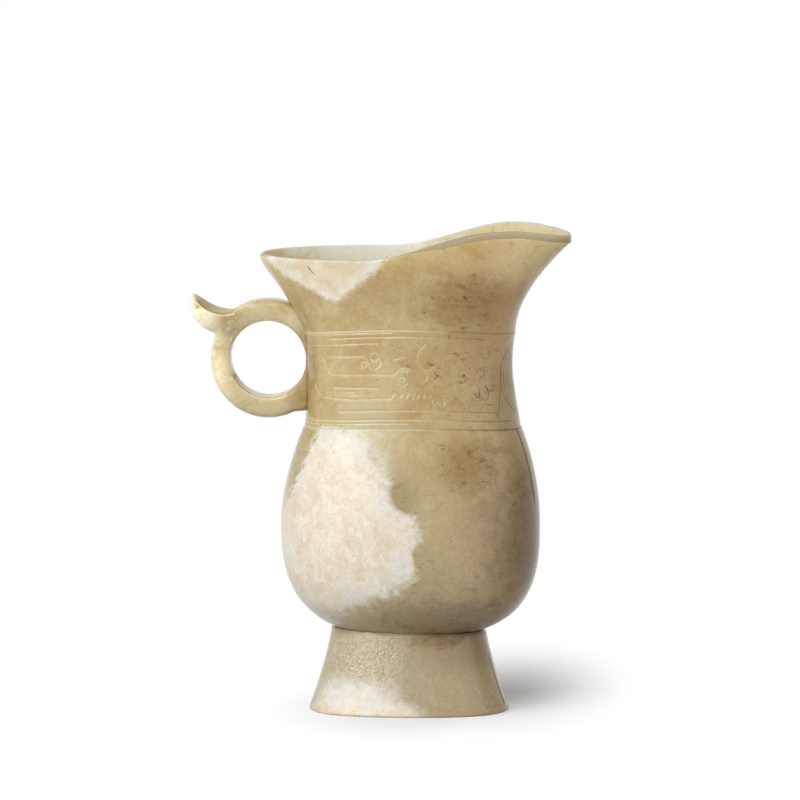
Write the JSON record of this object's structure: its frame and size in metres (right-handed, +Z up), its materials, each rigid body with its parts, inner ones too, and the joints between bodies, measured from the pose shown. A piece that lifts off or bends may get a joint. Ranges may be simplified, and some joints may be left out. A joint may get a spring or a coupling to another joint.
{
  "type": "jade ewer",
  "caption": "Flattened pear-shaped jade ewer on a spreading foot, with a flared pouring mouth, an incised neck band and a ring handle with a curled thumb rest.",
  "frame": {"origin": "on the table plane, under the middle of the ewer's whole extent in X and Y", "axes": "+X from the handle to the spout, +Y across the flattened body, +Z up"},
  "size_m": [0.0926, 0.044, 0.1174],
  "materials": {
    "jade": "polished"
  },
  "bodies": {
    "root": {"foot": "jade", "belly": "jade", "neck_band": "jade", "flared_mouth": "jade", "handle_ring": "jade", "thumb_rest": "jade"}
  },
  "joints": []
}
